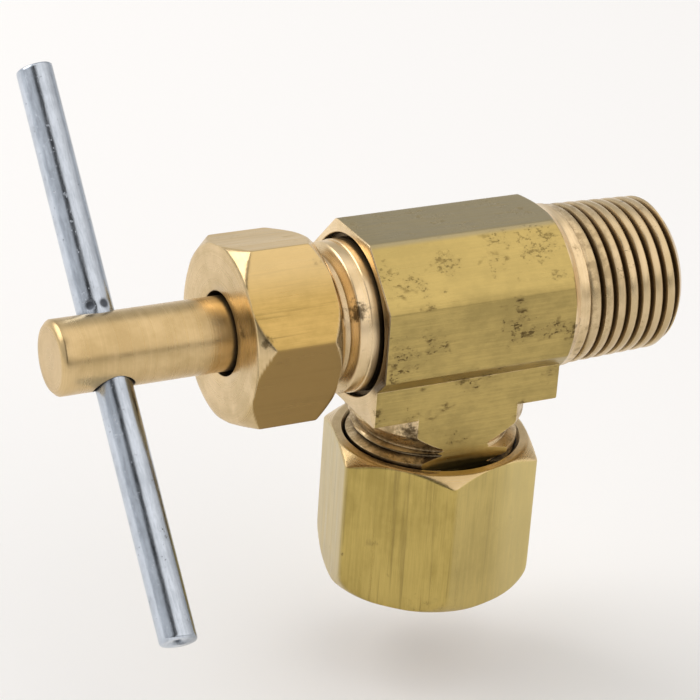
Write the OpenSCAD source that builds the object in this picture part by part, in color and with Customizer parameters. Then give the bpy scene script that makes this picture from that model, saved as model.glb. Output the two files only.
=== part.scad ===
// Angle needle valve: 1/8-27 male pipe inlet, compression outlet for 6.35 mm tube.
// Valve frame: X along the stem and the inlet, Z up, the tube leaves along -Z.
// The row origin is the centre of the pipe thread's end face.

/* [Body bar] */
// Width across the flats of the octagonal bar
octagon_af = 11.3; // [11.2:0.05:11.5]
// Distance from the outlet axis to the packing end of the bar
body_left = 6.76; // [6.7:0.02:6.9]
// Distance from the outlet axis to the inlet end of the foot
foot_right = 6.45; // [6.3:0.05:6.6]
// Distance from the outlet axis to the chamfered inlet end of the octagon
body_right = 6.7; // [6.6:0.02:6.8]
// Width of the leg below the octagon, which also flattens the tube boss
leg_width = 9.24; // [9.1:0.02:9.3]
// Depth of the foot's underside below the stem axis
foot_depth = 5.85; // [5.8:0.02:6]

/* [Pipe thread] */
// Distance from the outlet axis to the end of the pipe thread
centre_to_end = 15.24; // [15:0.02:15.6]
// Outside diameter at the small end of the thread
pipe_small_d = 9.99; // [9.9:0.01:10.05]
// Length of the threaded part
pipe_length = 6.7; // [6.2:0.1:7]
// Pitch of the 27 per inch thread
pipe_pitch = 0.9407; // [0.92:0.01:0.96]
// Diameter of the plain neck behind the thread
neck_d = 10.6; // [10.5:0.02:10.7]
// Diameter of the inlet passage
inlet_d = 5.8; // [5.4:0.1:6]

/* [Chamber and seat] */
// Diameter of the bore that the stem thread runs in
chamber_d = 6.47; // [6.43:0.01:6.5]
// Diameter of the orifice that the needle closes
orifice_d = 2.8; // [2.6:0.05:3]
// Diameter of the passage down to the tube
outlet_d = 5.1; // [4.8:0.1:5.3]

/* [Packing gland] */
// Major diameter of the packing nut's thread
gland_thread_d = 9.525; // [9.45:0.025:9.55]
// Pitch of the packing nut's thread
gland_pitch = 1.058; // [1:0.01:1.1]
// Diameter of the packing chamber
packing_d = 6.8; // [6.7:0.02:6.9]
// Depth of the packing chamber
packing_depth = 4; // [3.9:0.05:4.05]
// Thickness of one packing ring
ring_t = 0.9; // [0.86:0.01:0.92]
// Width across the flats of the packing nut
packing_nut_af = 11.11; // [11:0.01:11.2]
// Length of the packing nut
packing_nut_length = 5.75; // [5.6:0.05:5.8]
// Diameter of the hole that the stem leaves by
stem_hole_d = 5.3; // [5.2:0.1:5.8]
// Turn of the packing nut's corners about the stem
packing_nut_turn = 17.1; // [0:0.1:60]

/* [Stem and handle] */
// Diameter of the plain stem
stem_d = 4.7; // [4.6:0.01:4.74]
// Distance from the outlet axis to the outer end of the stem
stem_reach = 26.54; // [26:0.1:27]
// Major diameter of the stem thread
stem_thread_d = 6.35; // [6.3:0.01:6.37]
// Pitch of the 28 per inch stem thread
stem_pitch = 0.907; // [0.88:0.01:0.93]
// Diameter of the cross bar
bar_d = 2.3; // [2.2:0.05:2.4]
// Length of the cross bar
bar_length = 37.1; // [30:0.5:44]
// Distance from the outlet axis to the middle of the cross bar
bar_reach = 23; // [22.9:0.1:23.4]
// Lean of the cross bar away from upright
bar_lean = 42.8; // [0:0.1:90]
// Half angle of the needle
needle_half_angle = 15; // [14:0.5:16]
// Distance that the needle is off its seat as drawn
needle_lift = 1.814; // [1.7:0.01:1.82]

/* [Tube connection] */
// Outside diameter of the tube that the fitting takes
tube_d = 6.35; // [6.3:0.01:6.36]
// Major diameter of the compression nut's thread
boss_thread_d = 11.11; // [11:0.01:11.13]
// Pitch of the 24 per inch compression thread
boss_pitch = 1.058; // [1.04:0.01:1.08]
// Diameter of the plain boss above the thread
boss_d = 11.68; // [11.6:0.02:11.8]
// Depth of the end of the boss below the stem axis
boss_depth = 14.6; // [14.5:0.05:14.7]
// Width across the flats of the compression nut
tube_nut_af = 12.7; // [12.6:0.01:12.8]
// Depth of the top face of the compression nut below the stem axis
tube_nut_top = 9.21; // [9.1:0.01:9.3]
// Height of the compression nut
tube_nut_height = 10.03; // [10:0.01:10.1]
// Turn of the compression nut's corners about the tube
tube_nut_turn = 15; // [0:1:60]

/* [Hidden] */

// Smoothness of turned surfaces
turn_fn = 96;
// Radial gap between a moving thread and the plain bore that it runs in
thread_gap = 0.06;
// Radial gap between a turning piece and its bearing
running_gap = 0.05;
// Gap between flat faces of pieces that move apart
face_gap = 0.04;
// Reach of a cutter past the surface that it opens
over = 0.5;
// Depth of a 60 degree thread as a share of its pitch
thread_share = 0.6134;
// Share of the pitch that the flat crest takes
crest_share = 0.2;

octagon_r = octagon_af / 2 / cos(22.5);
leg_half = leg_width / 2;
neck_end = body_left + 5.84;
chamber_floor = neck_end - packing_depth;
packing_r = packing_d / 2;
stem_r = stem_d / 2;
chamber_r = chamber_d / 2;
orifice_r = orifice_d / 2;
inlet_r = inlet_d / 2;

// Places along the stem axis, measured from the outlet axis towards the inlet
seat_start = 2.6;
seat_end = seat_start + (chamber_r - orifice_r) / tan(59);
orifice_end = 5.4;
thread_left = -6.2;
thread_right = -2.9;
nose_end = -0.9;
shank_r = 0.9;
shank_end = -3.6;
shank_hole_end = -3.8;

washer_t = 0.5;
follower_nose = 0.95;
follower_flange_t = 0.7;
follower_flange_r = 4.3;
follower_face = -neck_end - 0.15;
packing_nut_left = -15.46;
packing_nut_floor = follower_face - follower_flange_t - face_gap;
gland_groove_last = -8.6;
collar_start = -8.15;
collar_r = 4.85;
face_groove_r = 5.22;
face_groove_depth = 0.55;
cone_slope = 0.8;
neck_start = body_right + 0.5;
// Small chamfer at the ends of threads and turned pieces
end_chamfer = 0.5;

// Heights below the stem axis on the tube side
leg_top = 2;
boss_taper_top = 7.1;
boss_groove = 8.6;
tube_stop = 10.2;
socket_r = tube_d / 2 + 0.065;
sleeve_seat_r = 4.1;
sleeve_top = 14.12;
sleeve_length = 3.3;
sleeve_r = 3.95;
tube_nut_bottom = tube_nut_top + tube_nut_height;
tube_nut_web = 17.55;
tube_nut_thread_end = 16;
tube_nut_mouth_r = 5.82;
sleeve_room_r = 4.25;
web_cone_r = 3.7;
tube_hole_r = tube_d / 2 + 0.075;

// Height of one thread groove
function groove_depth(pitch) = pitch * thread_share;

// Outline points [radius, place] of ring grooves that start with a groove at `first`
function grooves(first, count, pitch, crest_r, taper = 0) = [
    for (i = [0 : count - 1], step = [-1, 0, 1])
        let (place = first + i * pitch + step * pitch * (1 - crest_share) / 2)
        [crest_r - taper * (first + i * pitch) - (step == 0 ? groove_depth(pitch) : 0), place]
];

// Solid of revolution about X, from points [radius, x]
module lathe_x(points) {
    rotate([0, 90, 0]) rotate_extrude($fn = turn_fn) polygon(points);
}

// Solid of revolution about Z, from points [radius, z]
module lathe_z(points) {
    rotate_extrude($fn = turn_fn) polygon(points);
}

// Moves a part from the valve frame to the row frame
module place() {
    translate([-centre_to_end, 0, 0]) children();
}

// Octagonal bar with its inlet end turned to a cone
module octagon_bar() {
    envelope_r = octagon_r + 1;
    cone_start = body_right - cone_slope * (envelope_r - octagon_af / 2);
    intersection() {
        rotate([0, 90, 0]) translate([0, 0, -body_left])
            linear_extrude(body_left + neck_start) rotate(22.5) circle(r = octagon_r, $fn = 8);
        lathe_x([[0, -body_left - over], [envelope_r, -body_left - over], [envelope_r, cone_start],
            [octagon_af / 2, body_right], [neck_d / 2, neck_start], [0, neck_start]]);
    }
}

// Foot: the square lower corners of the bar
module foot() {
    translate([-body_left, -leg_half, -foot_depth])
        cube([body_left + foot_right, leg_width, foot_depth - leg_top]);
}

// Boss for the tube, turned from the leg, so its front and back stay flat
module tube_boss() {
    boss_r = boss_d / 2;
    crest_r = boss_thread_d / 2;
    turns = 5;
    thread = grooves(boss_groove, turns, boss_pitch, crest_r);
    intersection() {
        lathe_z([
            [0, -leg_top], [boss_r, -leg_top], [boss_r, -boss_taper_top],
            for (p = [for (i = [1 : len(thread) - 1]) thread[i]]) [p[0], -p[1]],
            [crest_r, -boss_depth + end_chamfer], [crest_r - end_chamfer, -boss_depth], [0, -boss_depth]]);
        translate([-boss_d, -leg_half, -boss_depth - over]) cube([2 * boss_d, leg_width, boss_depth]);
    }
}

// Threaded neck for the packing nut, with a plain collar next to the bar
module packing_neck() {
    crest_r = gland_thread_d / 2;
    turns = 4;
    first = gland_groove_last - (turns - 1) * gland_pitch;
    thread = grooves(first, turns, gland_pitch, crest_r);
    lathe_x([[0, -neck_end], [crest_r - 0.35, -neck_end], [crest_r, -neck_end + 0.3],
        for (p = thread) p,
        [collar_r, collar_start], [collar_r, -body_left + 1], [0, -body_left + 1]]);
}

// Plain neck and taper pipe thread
module pipe_end() {
    large_r = pipe_small_d / 2 + pipe_length / 32;
    start = centre_to_end - pipe_length;
    turns = 6;
    thread = grooves(pipe_pitch / 2, turns, pipe_pitch, large_r, 1 / 32);
    lathe_x([[0, body_right - 1], [neck_d / 2, body_right - 1], [neck_d / 2, start - 0.2],
        for (p = thread) [p[0], p[1] + start],
        [pipe_small_d / 2 + end_chamfer / 32, centre_to_end - end_chamfer],
        [pipe_small_d / 2 - end_chamfer, centre_to_end],
        [0, centre_to_end]]);
}

// Passages for the packing, the stem, the needle and the inlet
module stem_passage() {
    lathe_x([[0, -neck_end - over], [packing_r, -neck_end - over], [packing_r, -chamber_floor],
        [chamber_r, -chamber_floor], [chamber_r, seat_start], [orifice_r, seat_end],
        [orifice_r, orifice_end], [inlet_r, orifice_end], [inlet_r, centre_to_end + over],
        [0, centre_to_end + over]]);
}

// Passage down to the tube, the tube's socket and the cone for the sleeve
module tube_passage() {
    mouth = boss_depth + over;
    cone_height = sleeve_seat_r - socket_r;
    lathe_z([[0, 0], [outlet_d / 2, 0], [outlet_d / 2, -tube_stop], [socket_r, -tube_stop],
        [socket_r, -boss_depth + cone_height], [sleeve_seat_r, -boss_depth],
        [sleeve_seat_r, -mouth], [0, -mouth]]);
}

// Ring groove in the packing end of the bar, round the collar
module face_groove() {
    groove_floor = -body_left + face_groove_depth;
    lathe_x([[collar_r, -body_left - over], [face_groove_r, -body_left - over], [face_groove_r, groove_floor],
        [collar_r, groove_floor]]);
}

module valve_body() {
    color("darkkhaki") place() difference() {
        union() {
            octagon_bar();
            foot();
            tube_boss();
            packing_neck();
            pipe_end();
        }
        stem_passage();
        tube_passage();
        face_groove();
    }
}

// Flat ring about X between two places along it
module ring_x(inner_r, outer_r, from, to) {
    lathe_x([[inner_r, from], [outer_r, from], [outer_r, to], [inner_r, to]]);
}

module packing_washer() {
    color("goldenrod") place()
        ring_x(stem_r + running_gap, packing_r - 0.03, -chamber_floor - washer_t, -chamber_floor);
}

// Packing ring with its outer edges rounded off by a small chamfer
module packing_ring(index) {
    right = -chamber_floor - washer_t - index * ring_t;
    left = right - ring_t;
    inner_r = stem_r + running_gap;
    outer_r = packing_r - 0.03;
    chamfer = 0.12;
    color("whitesmoke") place()
        lathe_x([[inner_r, left], [outer_r - chamfer, left], [outer_r, left + chamfer],
            [outer_r, right - chamfer], [outer_r - chamfer, right], [inner_r, right]]);
}

// Flanged bush that the packing nut presses on the packing
module gland_follower() {
    inner_r = stem_r + running_gap + 0.02;
    nose_r = packing_r - 0.08;
    left = follower_face - follower_flange_t;
    right = follower_face + follower_nose;
    chamfer = 0.18;
    color("goldenrod") place()
        lathe_x([[inner_r, left], [follower_flange_r - chamfer, left], [follower_flange_r, left + chamfer],
            [follower_flange_r, follower_face], [nose_r, follower_face], [nose_r, right - chamfer],
            [nose_r - chamfer, right], [inner_r, right]]);
}

module packing_nut() {
    corner_r = packing_nut_af / 2 / cos(30);
    flat_r = packing_nut_af / 2;
    right = packing_nut_left + packing_nut_length;
    bore_r = gland_thread_d / 2 + thread_gap;
    slope = 1.15;
    envelope_r = corner_r + 0.1;
    reach = slope * (envelope_r - flat_r);
    color("peru") place() difference() {
        intersection() {
            rotate([packing_nut_turn, 0, 0]) rotate([0, 90, 0]) translate([0, 0, packing_nut_left])
                cylinder(r = corner_r, h = packing_nut_length, $fn = 6);
            lathe_x([[0, packing_nut_left], [flat_r, packing_nut_left],
                [envelope_r, packing_nut_left + reach], [envelope_r, right - reach],
                [flat_r, right], [0, right]]);
        }
        lathe_x([[0, packing_nut_left - over], [stem_hole_d / 2, packing_nut_left - over],
            [stem_hole_d / 2, packing_nut_floor], [bore_r, packing_nut_floor], [bore_r, right - 0.25],
            [bore_r + 0.25, right], [bore_r + 0.25, right + over], [0, right + over]]);
    }
}

// Stem with its screw thread, cross hole and blind hole for the needle's shank
module stem() {
    crest_r = stem_thread_d / 2;
    turns = 3;
    chamfer = 0.3;
    thread = grooves(thread_left + 0.75, turns, stem_pitch, crest_r);
    color("darkgoldenrod") place() difference() {
        lathe_x([[0, -stem_reach], [stem_r - chamfer, -stem_reach], [stem_r, -stem_reach + chamfer],
            [stem_r, thread_left], [crest_r - 0.3, thread_left], [crest_r, thread_left + 0.2],
            for (p = thread) p,
            [crest_r, thread_right - 0.2], [crest_r - 0.3, thread_right], [stem_r - 0.05, thread_right],
            [stem_r - 0.05, nose_end - 0.2], [stem_r - 0.25, nose_end], [0, nose_end]]);
        lathe_x([[0, shank_hole_end], [shank_r + running_gap, shank_hole_end],
            [shank_r + running_gap, nose_end + over], [0, nose_end + over]]);
        translate([-bar_reach, 0, 0]) rotate([-bar_lean, 0, 0])
            cylinder(d = bar_d + 0.1, h = 2 * stem_d, center = true);
    }
}

// Needle with a shank that turns in the end of the stem
module needle_tip() {
    base_r = 1.9;
    end_r = 0.5;
    contact_x = seat_end - needle_lift - face_gap;
    base_x = contact_x - (base_r - orifice_r) / tan(needle_half_angle);
    end_x = contact_x + (orifice_r - end_r) / tan(needle_half_angle);
    color("silver") place()
        lathe_x([[0, shank_end], [shank_r, shank_end], [shank_r, nose_end + 0.1], [base_r, nose_end + 0.1],
            [base_r, base_x], [end_r, end_x], [end_r - 0.2, end_x + 0.15], [0, end_x + 0.15]]);
}

module handle_bar() {
    chamfer = 0.2;
    half = bar_length / 2;
    bar_r = bar_d / 2;
    offset_up = 0.15;
    color("slategray") place() translate([-bar_reach, 0, 0]) rotate([-bar_lean, 0, 0])
        translate([0, 0, offset_up])
            lathe_z([[0, -half], [bar_r - chamfer, -half], [bar_r, -half + chamfer], [bar_r, half - chamfer],
                [bar_r - chamfer, half], [0, half]]);
}

// Ferrule that the compression nut squeezes on the tube
module compression_sleeve() {
    bore_r = tube_d / 2 + 0.045;
    bottom = sleeve_top + sleeve_length;
    color("goldenrod") place()
        lathe_z([[bore_r, -sleeve_top], [bore_r + 0.3, -sleeve_top], [sleeve_r, -sleeve_top - 1.2],
            [sleeve_r, -bottom + 0.75], [bore_r + 0.25, -bottom], [bore_r, -bottom]]);
}

module compression_nut() {
    corner_r = tube_nut_af / 2 / cos(30);
    flat_r = tube_nut_af / 2;
    bore_r = boss_thread_d / 2 + thread_gap;
    envelope_r = corner_r + 0.1;
    top_slope = 0.66;
    top_reach = top_slope * (envelope_r - flat_r + 0.05);
    rim_r = 6.65;
    color("olive") place() difference() {
        intersection() {
            rotate([0, 0, tube_nut_turn]) translate([0, 0, -tube_nut_bottom])
                cylinder(r = corner_r, h = tube_nut_height, $fn = 6);
            lathe_z([[0, -tube_nut_top], [flat_r - 0.05, -tube_nut_top],
                [envelope_r, -tube_nut_top - top_reach], [envelope_r, -tube_nut_bottom + 3],
                [corner_r - 0.22, -tube_nut_bottom + 1.1],
                [rim_r, -tube_nut_bottom + 0.2], [rim_r - 0.2, -tube_nut_bottom], [0, -tube_nut_bottom]]);
        }
        lathe_z([[0, -tube_nut_top + over], [tube_nut_mouth_r, -tube_nut_top + over],
            [tube_nut_mouth_r, -tube_nut_top], [bore_r, -tube_nut_top - 0.25],
            [bore_r, -tube_nut_thread_end], [sleeve_room_r, -tube_nut_thread_end - 0.1],
            [sleeve_room_r, -tube_nut_web + sleeve_room_r - web_cone_r],
            [web_cone_r, -tube_nut_web], [tube_hole_r, -tube_nut_web],
            [tube_hole_r, -tube_nut_bottom - over], [0, -tube_nut_bottom - over]]);
    }
}

valve_body();
packing_washer();
packing_ring(0);  // packing_ring_inner
packing_ring(1);  // packing_ring_middle
packing_ring(2);  // packing_ring_outer
gland_follower();
packing_nut();
stem();
needle_tip();
handle_bar();
compression_sleeve();
compression_nut();
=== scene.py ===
"""Needle valve: the visible pieces and their finish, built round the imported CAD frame."""

import math

import bmesh
import bpy
import numpy as np
from mathutils import Matrix, Vector


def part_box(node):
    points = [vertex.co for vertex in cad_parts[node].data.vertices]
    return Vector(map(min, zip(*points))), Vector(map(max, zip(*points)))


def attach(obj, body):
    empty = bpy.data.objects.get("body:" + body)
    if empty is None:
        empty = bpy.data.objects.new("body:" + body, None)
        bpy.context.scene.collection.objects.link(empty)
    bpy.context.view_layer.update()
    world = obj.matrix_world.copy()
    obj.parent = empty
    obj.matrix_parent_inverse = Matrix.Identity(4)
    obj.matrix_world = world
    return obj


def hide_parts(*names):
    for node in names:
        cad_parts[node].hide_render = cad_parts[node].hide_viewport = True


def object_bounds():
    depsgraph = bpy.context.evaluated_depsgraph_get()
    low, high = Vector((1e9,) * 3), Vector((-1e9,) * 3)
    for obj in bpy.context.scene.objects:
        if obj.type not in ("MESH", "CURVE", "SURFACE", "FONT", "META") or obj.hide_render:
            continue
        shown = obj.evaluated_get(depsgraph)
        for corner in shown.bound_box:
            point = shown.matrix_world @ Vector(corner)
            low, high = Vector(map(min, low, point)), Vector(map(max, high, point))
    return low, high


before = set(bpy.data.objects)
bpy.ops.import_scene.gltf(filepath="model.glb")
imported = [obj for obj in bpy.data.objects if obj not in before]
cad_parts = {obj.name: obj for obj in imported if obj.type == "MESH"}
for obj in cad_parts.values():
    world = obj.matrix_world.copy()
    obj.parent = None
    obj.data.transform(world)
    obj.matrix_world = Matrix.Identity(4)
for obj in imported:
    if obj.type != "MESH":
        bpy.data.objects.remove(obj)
CAD_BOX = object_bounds()

# ---------------------------------------------------------------- frame and sizes, in millimetres
# The valve frame has its origin where the stem's axis crosses the outlet's axis.
MM = 0.001


def box_mm(node):
    """Lowest and highest corner of a CAD node in the valve frame, in millimetres."""
    lo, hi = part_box(node)
    return (lo / MM - ORIGIN, hi / MM - ORIGIN)


NUT_LO, NUT_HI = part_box("compression_nut")
ORIGIN = Vector(((NUT_LO.x + NUT_HI.x) / 2 / MM, 0, 0))

BODY_LO, BODY_HI = box_mm("valve_body")
PACKING_NUT_LO, PACKING_NUT_HI = box_mm("packing_nut")
TUBE_NUT_LO, TUBE_NUT_HI = box_mm("compression_nut")
STEM_LO, STEM_HI = box_mm("stem")
FOLLOWER_LO = box_mm("gland_follower")[0]

# Body bar: an octagon with a square foot under it, which becomes the leg that the boss is turned from
OCTAGON_FLAT = BODY_HI.y
OCTAGON_POWER = 110
BAR_LEFT, BAR_RIGHT = -6.76, 6.7
FOOT_RIGHT = 6.45
LEG_HALF = 4.62
FOOT_DEPTH = 5.85
NECK_R = 5.3
COLLAR_R = 4.8
BOSS_R = 5.84

# Passages in the body
CHAMBER_R, CHAMBER_DEPTH = 3.4, 4
ORIFICE_R = 1.4
INLET_R = 2.9
OUTLET_R = 2.55
TUBE_SOCKET_R, TUBE_SOCKET_TOP = 3.24, -10.2
SEAT = 2.6
STEM_BORE_END = -1.2

# Threads: major radius and pitch, depth as a share of the pitch, and the gap between mating threads
GLAND_R, GLAND_PITCH = 4.7625, 1.058
BOSS_THREAD_R, BOSS_PITCH = 5.555, 1.058
STEM_THREAD_R, STEM_PITCH = 3.175, 0.907
PIPE_END_R, PIPE_PITCH, PIPE_TAPER = 4.995, 0.9407, 1 / 32
THREAD_DEPTH = 0.6134
THREAD_GAP = 0.06

# Where each outside thread runs out, and the place of one of its crests
GLAND_RELIEF = BAR_LEFT - 2.1
GLAND_CREST = GLAND_RELIEF - 0.62
BOSS_RELIEF = -8.3
BOSS_CREST = -9.13 - BOSS_PITCH * 0.66
PIPE_START = BODY_HI.x - 7.3
PIPE_CREST = BODY_HI.x - 0.59

# Nuts: half the width across flats, the hole, and how far one flat is turned, in degrees
PACKING_NUT_FLAT_R, PACKING_NUT_HOLE_R, PACKING_NUT_TURN = 11.11 / 2, 2.65, 17.1
TUBE_NUT_FLAT_R, TUBE_HOLE_R, TUBE_NUT_TURN = 6.35, 3.25, 15
TUBE_NUT_CORNER_R, TUBE_NUT_RIM_R = 7.5, 6.2

# Stem and handle: the bar crosses the stem at BAR_REACH and leans BAR_LEAN degrees from upright
STEM_R = 2.35
STEM_THREAD_LEFT, STEM_THREAD_RIGHT = -6.2, -2.9
NEEDLE_SHANK_R, NEEDLE_SHANK_END = 0.95, -3.8
BAR_REACH = -23.0
BAR_R = 1.15
BAR_LEAN = 42.8
BAR_HALF = 18.55
BAR_SHIFT = 0.15

# Punched stakes beside the stem: ways they face and width in degrees, place and length along the bar
STAKE_FACINGS, STAKE_WIDTH = (238, 284), 15
STAKE_PLACE, STAKE_LENGTH = 2.65, 0.3
STAKE_DEPTH = 0.09

# How far the compression nut comes down when it is unscrewed: the floor leaves room for it
TUBE_NUT_DROP = 6.35

# One pitch of a worn 60 degree thread: places along the pitch and share of the depth at each
THREAD_PROFILE = [(-0.15, 0.01), (0.0, 0.0), (0.15, 0.01), (0.19, 0.09), (0.32, 0.55), (0.445, 0.96),
                  (0.5, 1.0), (0.555, 0.96), (0.68, 0.55), (0.81, 0.09)]
# The same for the pipe thread, with broad worn crests and narrow roots
PIPE_PROFILE = [(-0.29, 0.12), (-0.17, 0.02), (0.0, 0.0), (0.17, 0.02), (0.29, 0.12), (0.38, 0.45),
                (0.45, 0.9), (0.5, 1.0), (0.55, 0.9), (0.62, 0.45)]


# ---------------------------------------------------------------- turned shapes
class Turning:
    """A surface round an axis, as rows of points. Each row holds one place and one radius per column, the row
    that its seam joins, and the kind of metal."""

    def __init__(self, angles):
        self.angles = np.asarray(angles, float)
        self.along, self.radius, self.seam, self.kind = [], [], [], []

    def ring(self, along, radius, kind=1):
        """A plain row. Place and radius may differ from column to column."""
        same = np.ones(len(self.angles))
        self.seam.append(len(self.along))
        self.along.append(along * same)
        self.radius.append(radius * same)
        self.kind.append(kind)

    def rings(self, points, kind=1):
        for along, radius in points:
            self.ring(along, radius, kind)

    def helix(self, start, end, pitch, crest, depth, envelope, origin=0.0, backwards=False,
              profile=THREAD_PROFILE):
        """Rows that follow a right-hand thread. envelope(place) is the most the radius may be, or the least
        where the thread is cut in a bore; crest is a radius or a function of the place."""
        turn_share = self.angles / (2 * math.pi)
        first = math.floor((start - origin) / pitch) - 1
        turns = math.ceil((end - origin) / pitch) - first
        rows = []
        for turn in range(turns + 1):
            for phase, share in profile:
                place = np.clip(origin + (first + turn + phase + turn_share) * pitch, start, end)
                top = crest(place) if callable(crest) else crest
                rows.append((place, envelope(place, top - depth * share)))
        step, count, base = len(profile), len(rows), len(self.along)
        if backwards:
            rows = rows[::-1]
        for i, (place, radius) in enumerate(rows):
            to = max(i - step, 0) if backwards else min(i + step, count - 1)
            self.seam.append(base + to)
            self.along.append(place)
            self.radius.append(radius)
            self.kind.append(1)

    def mesh(self, name, axis, closed=True, flags=None):
        """A mesh about axis "X" or "Z". closed joins the last row to the first."""
        rows, cols = len(self.along), len(self.angles)
        along, radius = np.array(self.along), np.array(self.radius)
        side, up = radius * np.cos(self.angles), radius * np.sin(self.angles)
        xyz = (along, side, up) if axis == "X" else (side, up, along)
        points = np.stack(xyz, -1).reshape(-1, 3)
        faces, kinds = [], []
        for i in range(rows if closed else rows - 1):
            n = (i + 1) % rows
            for j in range(cols):
                last = j == cols - 1
                a, b = i * cols + j, n * cols + j
                c = (self.seam[n] if last else n) * cols + (j + 1) % cols
                d = (self.seam[i] if last else i) * cols + (j + 1) % cols
                faces.append((a, d, c, b))
                kinds.append(self.kind[i] if self.kind[i] == self.kind[n] else 1)
        return make_mesh(name, points, faces, kinds, flags)


def make_mesh(name, points, faces, kinds=None, flags=None):
    """A mesh in metres in the row frame, from millimetres in the valve frame, with doubled points merged."""
    mesh = bpy.data.meshes.new(name)
    placed = (np.asarray(points) + np.array(ORIGIN)) * MM
    mesh.from_pydata(placed.tolist(), [], faces)
    if kinds is not None:
        mesh.materials.append(None)
        mesh.materials.append(None)
        mesh.polygons.foreach_set("material_index", kinds)
    if flags is not None:
        mesh.attributes.new("turned", "FLOAT", "POINT").data.foreach_set("value", flags)
    work = bmesh.new()
    work.from_mesh(mesh)
    bmesh.ops.remove_doubles(work, verts=work.verts, dist=2e-7)
    bmesh.ops.dissolve_degenerate(work, edges=work.edges, dist=1e-8)
    bmesh.ops.recalc_face_normals(work, faces=work.faces)
    work.to_mesh(mesh)
    work.free()
    return mesh


def spaced(count, extra=(), spread=(0,)):
    """Evenly spaced angles with more of them round each extra angle, all in degrees; returned in radians."""
    fine = [(a + s) % 360 for a in extra for s in spread]
    least_step = 0.15

    def clear_of_fine(angle):
        return all(abs((angle - f + 180) % 360 - 180) > least_step for f in fine)

    even = [angle for angle in np.arange(count) * 360 / count if clear_of_fine(angle)]
    return np.radians(sorted(set(np.round(fine + even, 4))))


def combine(mesh, other, operation):
    """The boolean of two meshes, as a new mesh."""
    tool = bpy.data.objects.new("tool", other)
    work = bpy.data.objects.new("work", mesh)
    for o in (tool, work):
        bpy.context.scene.collection.objects.link(o)
    cut = work.modifiers.new("cut", "BOOLEAN")
    cut.operation, cut.object, cut.solver = operation, tool, "MANIFOLD"
    shape = work.evaluated_get(bpy.context.evaluated_depsgraph_get())
    made = bpy.data.meshes.new_from_object(shape)
    for o in (tool, work):
        bpy.data.objects.remove(o)
    return made


def smooth_by_angle(mesh, degrees):
    """Smooth shading with sharp edges. Faces square to Y are the milled flats, and stay flat."""
    mesh.set_sharp_from_angle(angle=math.radians(degrees))
    mesh.polygons.foreach_set("use_smooth", [abs(face.normal.y) < 0.99995 for face in mesh.polygons])


def add_piece(name, mesh, body, node, materials, sharp=38):
    """Puts a finished mesh in the scene in place of a CAD node, riding on its body."""
    smooth_by_angle(mesh, sharp)
    mesh.name = name
    for i, material in enumerate(materials):
        mesh.materials[i] = material
    piece = bpy.data.objects.new(name, mesh)
    bpy.context.scene.collection.objects.link(piece)
    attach(piece, body)
    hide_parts(node)
    return piece


def soft_min(a, b, sharpness):
    """The lesser of two values, with the crossing rounded off."""
    return np.minimum(a, b) - np.log1p(np.exp(-sharpness * np.abs(a - b))) / sharpness


def polygon_radius(angles, flat_r, sides, first_flat, power):
    """Radius of a regular polygon with rounded corners at each angle."""
    total = 0
    for i in range(sides):
        facing = np.cos(angles - first_flat - i * 2 * math.pi / sides)
        total = total + np.clip(facing, 0, None) ** power
    return flat_r * total ** (-1 / power)


def outside_runout(start, start_r, start_slope, end, end_r, end_slope):
    """Envelope of an outside thread that starts and ends in a cone."""
    def limit(place, radius):
        from_start = start_r + (place - start) * start_slope
        from_end = end_r + (end - place) * end_slope
        return np.minimum(radius, np.minimum(from_start, from_end))
    return limit


def inside_runout(start, end, bore_r, slope):
    """Envelope of a thread cut in a bore, which fades into the bore at both ends."""
    def limit(place, radius):
        return np.maximum(radius, bore_r - np.minimum(place - start, end - place) * slope)
    return limit


def box_mesh(name, lo, hi):
    points = [(x, y, z) for x in (lo[0], hi[0]) for y in (lo[1], hi[1]) for z in (lo[2], hi[2])]
    faces = [(0, 1, 3, 2), (4, 6, 7, 5), (0, 4, 5, 1), (2, 3, 7, 6), (0, 2, 6, 4), (1, 5, 7, 3)]
    return make_mesh(name, points, faces, [0] * 6)


# ---------------------------------------------------------------- valve body
SKIN, TURNED = 0, 1
BODY_CORNERS = (22.5, 67.5, 112.5, 157.5, 202.5, 337.5)
FOOT_CORNERS = (180 + math.degrees(math.atan2(FOOT_DEPTH, LEG_HALF)),
                360 - math.degrees(math.atan2(FOOT_DEPTH, LEG_HALF)))
FACET_MEETS_FOOT = math.degrees(math.atan2(OCTAGON_FLAT * math.sqrt(2) - LEG_HALF, LEG_HALF))
FOOT_JOINTS = (180 + FACET_MEETS_FOOT, 360 - FACET_MEETS_FOOT)
CORNER_SPREAD = (-3.2, -2.2, -1.5, -0.9, -0.4, 0, 0.4, 0.9, 1.5, 2.2, 3.2)
CONE_SHARPNESS = 30


def octagon_radius(angles):
    return polygon_radius(angles, OCTAGON_FLAT, 8, 0, OCTAGON_POWER)


def foot_radius(angles):
    """Radius of the square leg's outline below the axis."""
    across = np.abs(np.cos(angles)) / LEG_HALF
    down = np.clip(-np.sin(angles), 0.05, None) / FOOT_DEPTH
    radius = (across ** OCTAGON_POWER + down ** OCTAGON_POWER) ** (-1 / OCTAGON_POWER)
    return np.where(np.sin(angles) < 0, radius, 0)


def inlet_cone(x):
    """Radius of the cone that the inlet end of the bar is turned to."""
    steep, shallow = 1 / 0.8, 0.7
    return OCTAGON_FLAT + (BAR_RIGHT - x) * (steep if x < BAR_RIGHT else shallow)


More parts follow.
